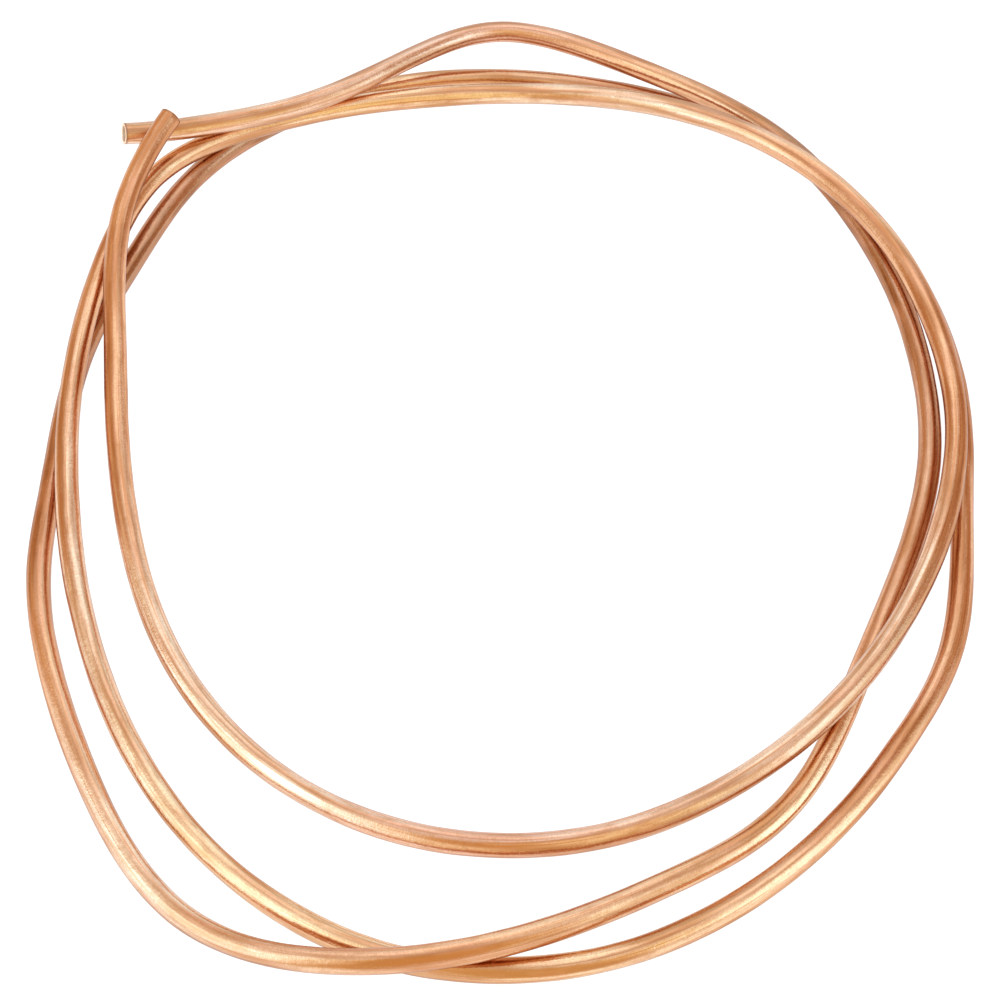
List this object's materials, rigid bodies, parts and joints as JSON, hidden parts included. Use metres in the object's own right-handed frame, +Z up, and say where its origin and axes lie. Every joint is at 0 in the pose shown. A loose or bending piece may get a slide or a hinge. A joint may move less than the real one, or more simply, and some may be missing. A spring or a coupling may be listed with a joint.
{
  "type": "copper tube coil",
  "caption": "Loose coil of thin soft-drawn copper tube, wound to three open turns that cross each other, with both ends cut square and open.",
  "frame": {"origin": "on the surface the coil lies on, below the middle of its outline", "axes": "+Z up through the coil's eye, +Y along the coil's longer side towards the side where both cut ends lie, +X across it"},
  "size_m": [0.2024, 0.2442, 0.022],
  "materials": {
    "copper": "bright soft-drawn copper, satin, with fine draw lines along the tube"
  },
  "bodies": {
    "root": {"copper_tube": "copper"}
  },
  "joints": []
}
